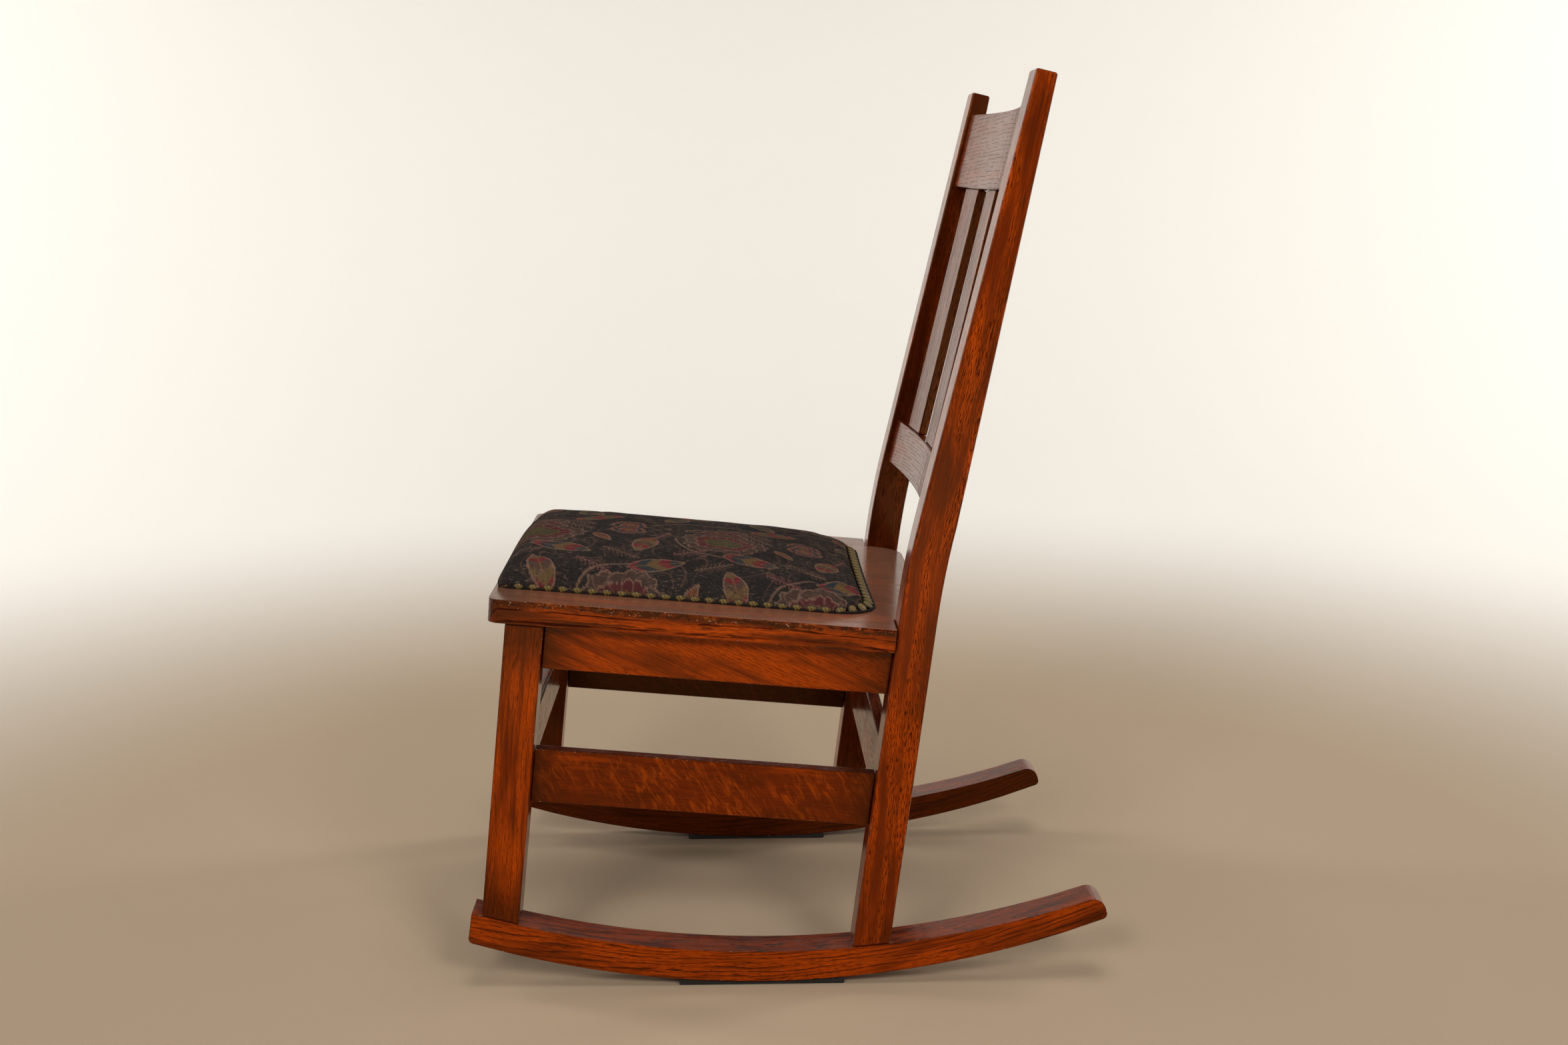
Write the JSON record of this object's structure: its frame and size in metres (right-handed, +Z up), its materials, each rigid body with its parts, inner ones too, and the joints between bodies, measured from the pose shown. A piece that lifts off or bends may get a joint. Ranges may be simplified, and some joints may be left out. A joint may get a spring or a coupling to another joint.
{
  "type": "sewing rocking chair",
  "caption": "Low armless oak rocking chair with a sloped seat board, a tapestry-covered seat pad edged with braid, and a slatted back bowed between leaning posts",
  "frame": {"origin": "on the floor, below the middle of the chair's bounding box: midway between the rockers and midway along their length", "axes": "+Z up along the chair's height, +Y towards the back of the chair, +X towards the sitter's left"},
  "size_m": [0.412, 0.5773, 0.8081],
  "materials": {
    "oak": "reddish-brown quarter-sawn oak under glossy varnish",
    "beech": "bare, matt",
    "steel": "plain steel",
    "rest_strip": "black, matt",
    "tapestry": "black woven tapestry with muted leaves and flowers",
    "stuffing": "cotton wadding",
    "braid": "gold and black scalloped braid"
  },
  "bodies": {
    "root": {"rocker_left": "oak", "rocker_right": "oak", "front_leg_left": "oak", "front_leg_right": "oak", "rear_post_left": "oak", "rear_post_right": "oak", "apron_front": "oak", "apron_rear": "oak", "apron_left": "oak", "apron_right": "oak", "stretcher_front": "oak", "stretcher_rear": "oak", "stretcher_left": "oak", "stretcher_right": "oak", "seat_board": "oak", "crest_rail": "oak", "lower_back_rail": "oak", "back_slat_1": "oak", "back_slat_2": "oak", "back_slat_3": "oak", "corner_block_front_left": "beech", "corner_block_front_right": "beech", "corner_block_rear_left": "beech", "corner_block_rear_right": "beech", "rocker_dowel_front_left": "beech", "rocker_dowel_front_right": "beech", "rocker_dowel_rear_left": "beech", "rocker_dowel_rear_right": "beech", "seat_screw_front_left": "steel", "seat_screw_front_right": "steel", "seat_screw_rear_left": "steel", "seat_screw_rear_right": "steel", "rest_strip_left": "rest_strip", "rest_strip_right": "rest_strip", "pad_cover": "tapestry", "pad_stuffing": "stuffing", "gimp_braid": "braid"}
  },
  "joints": []
}
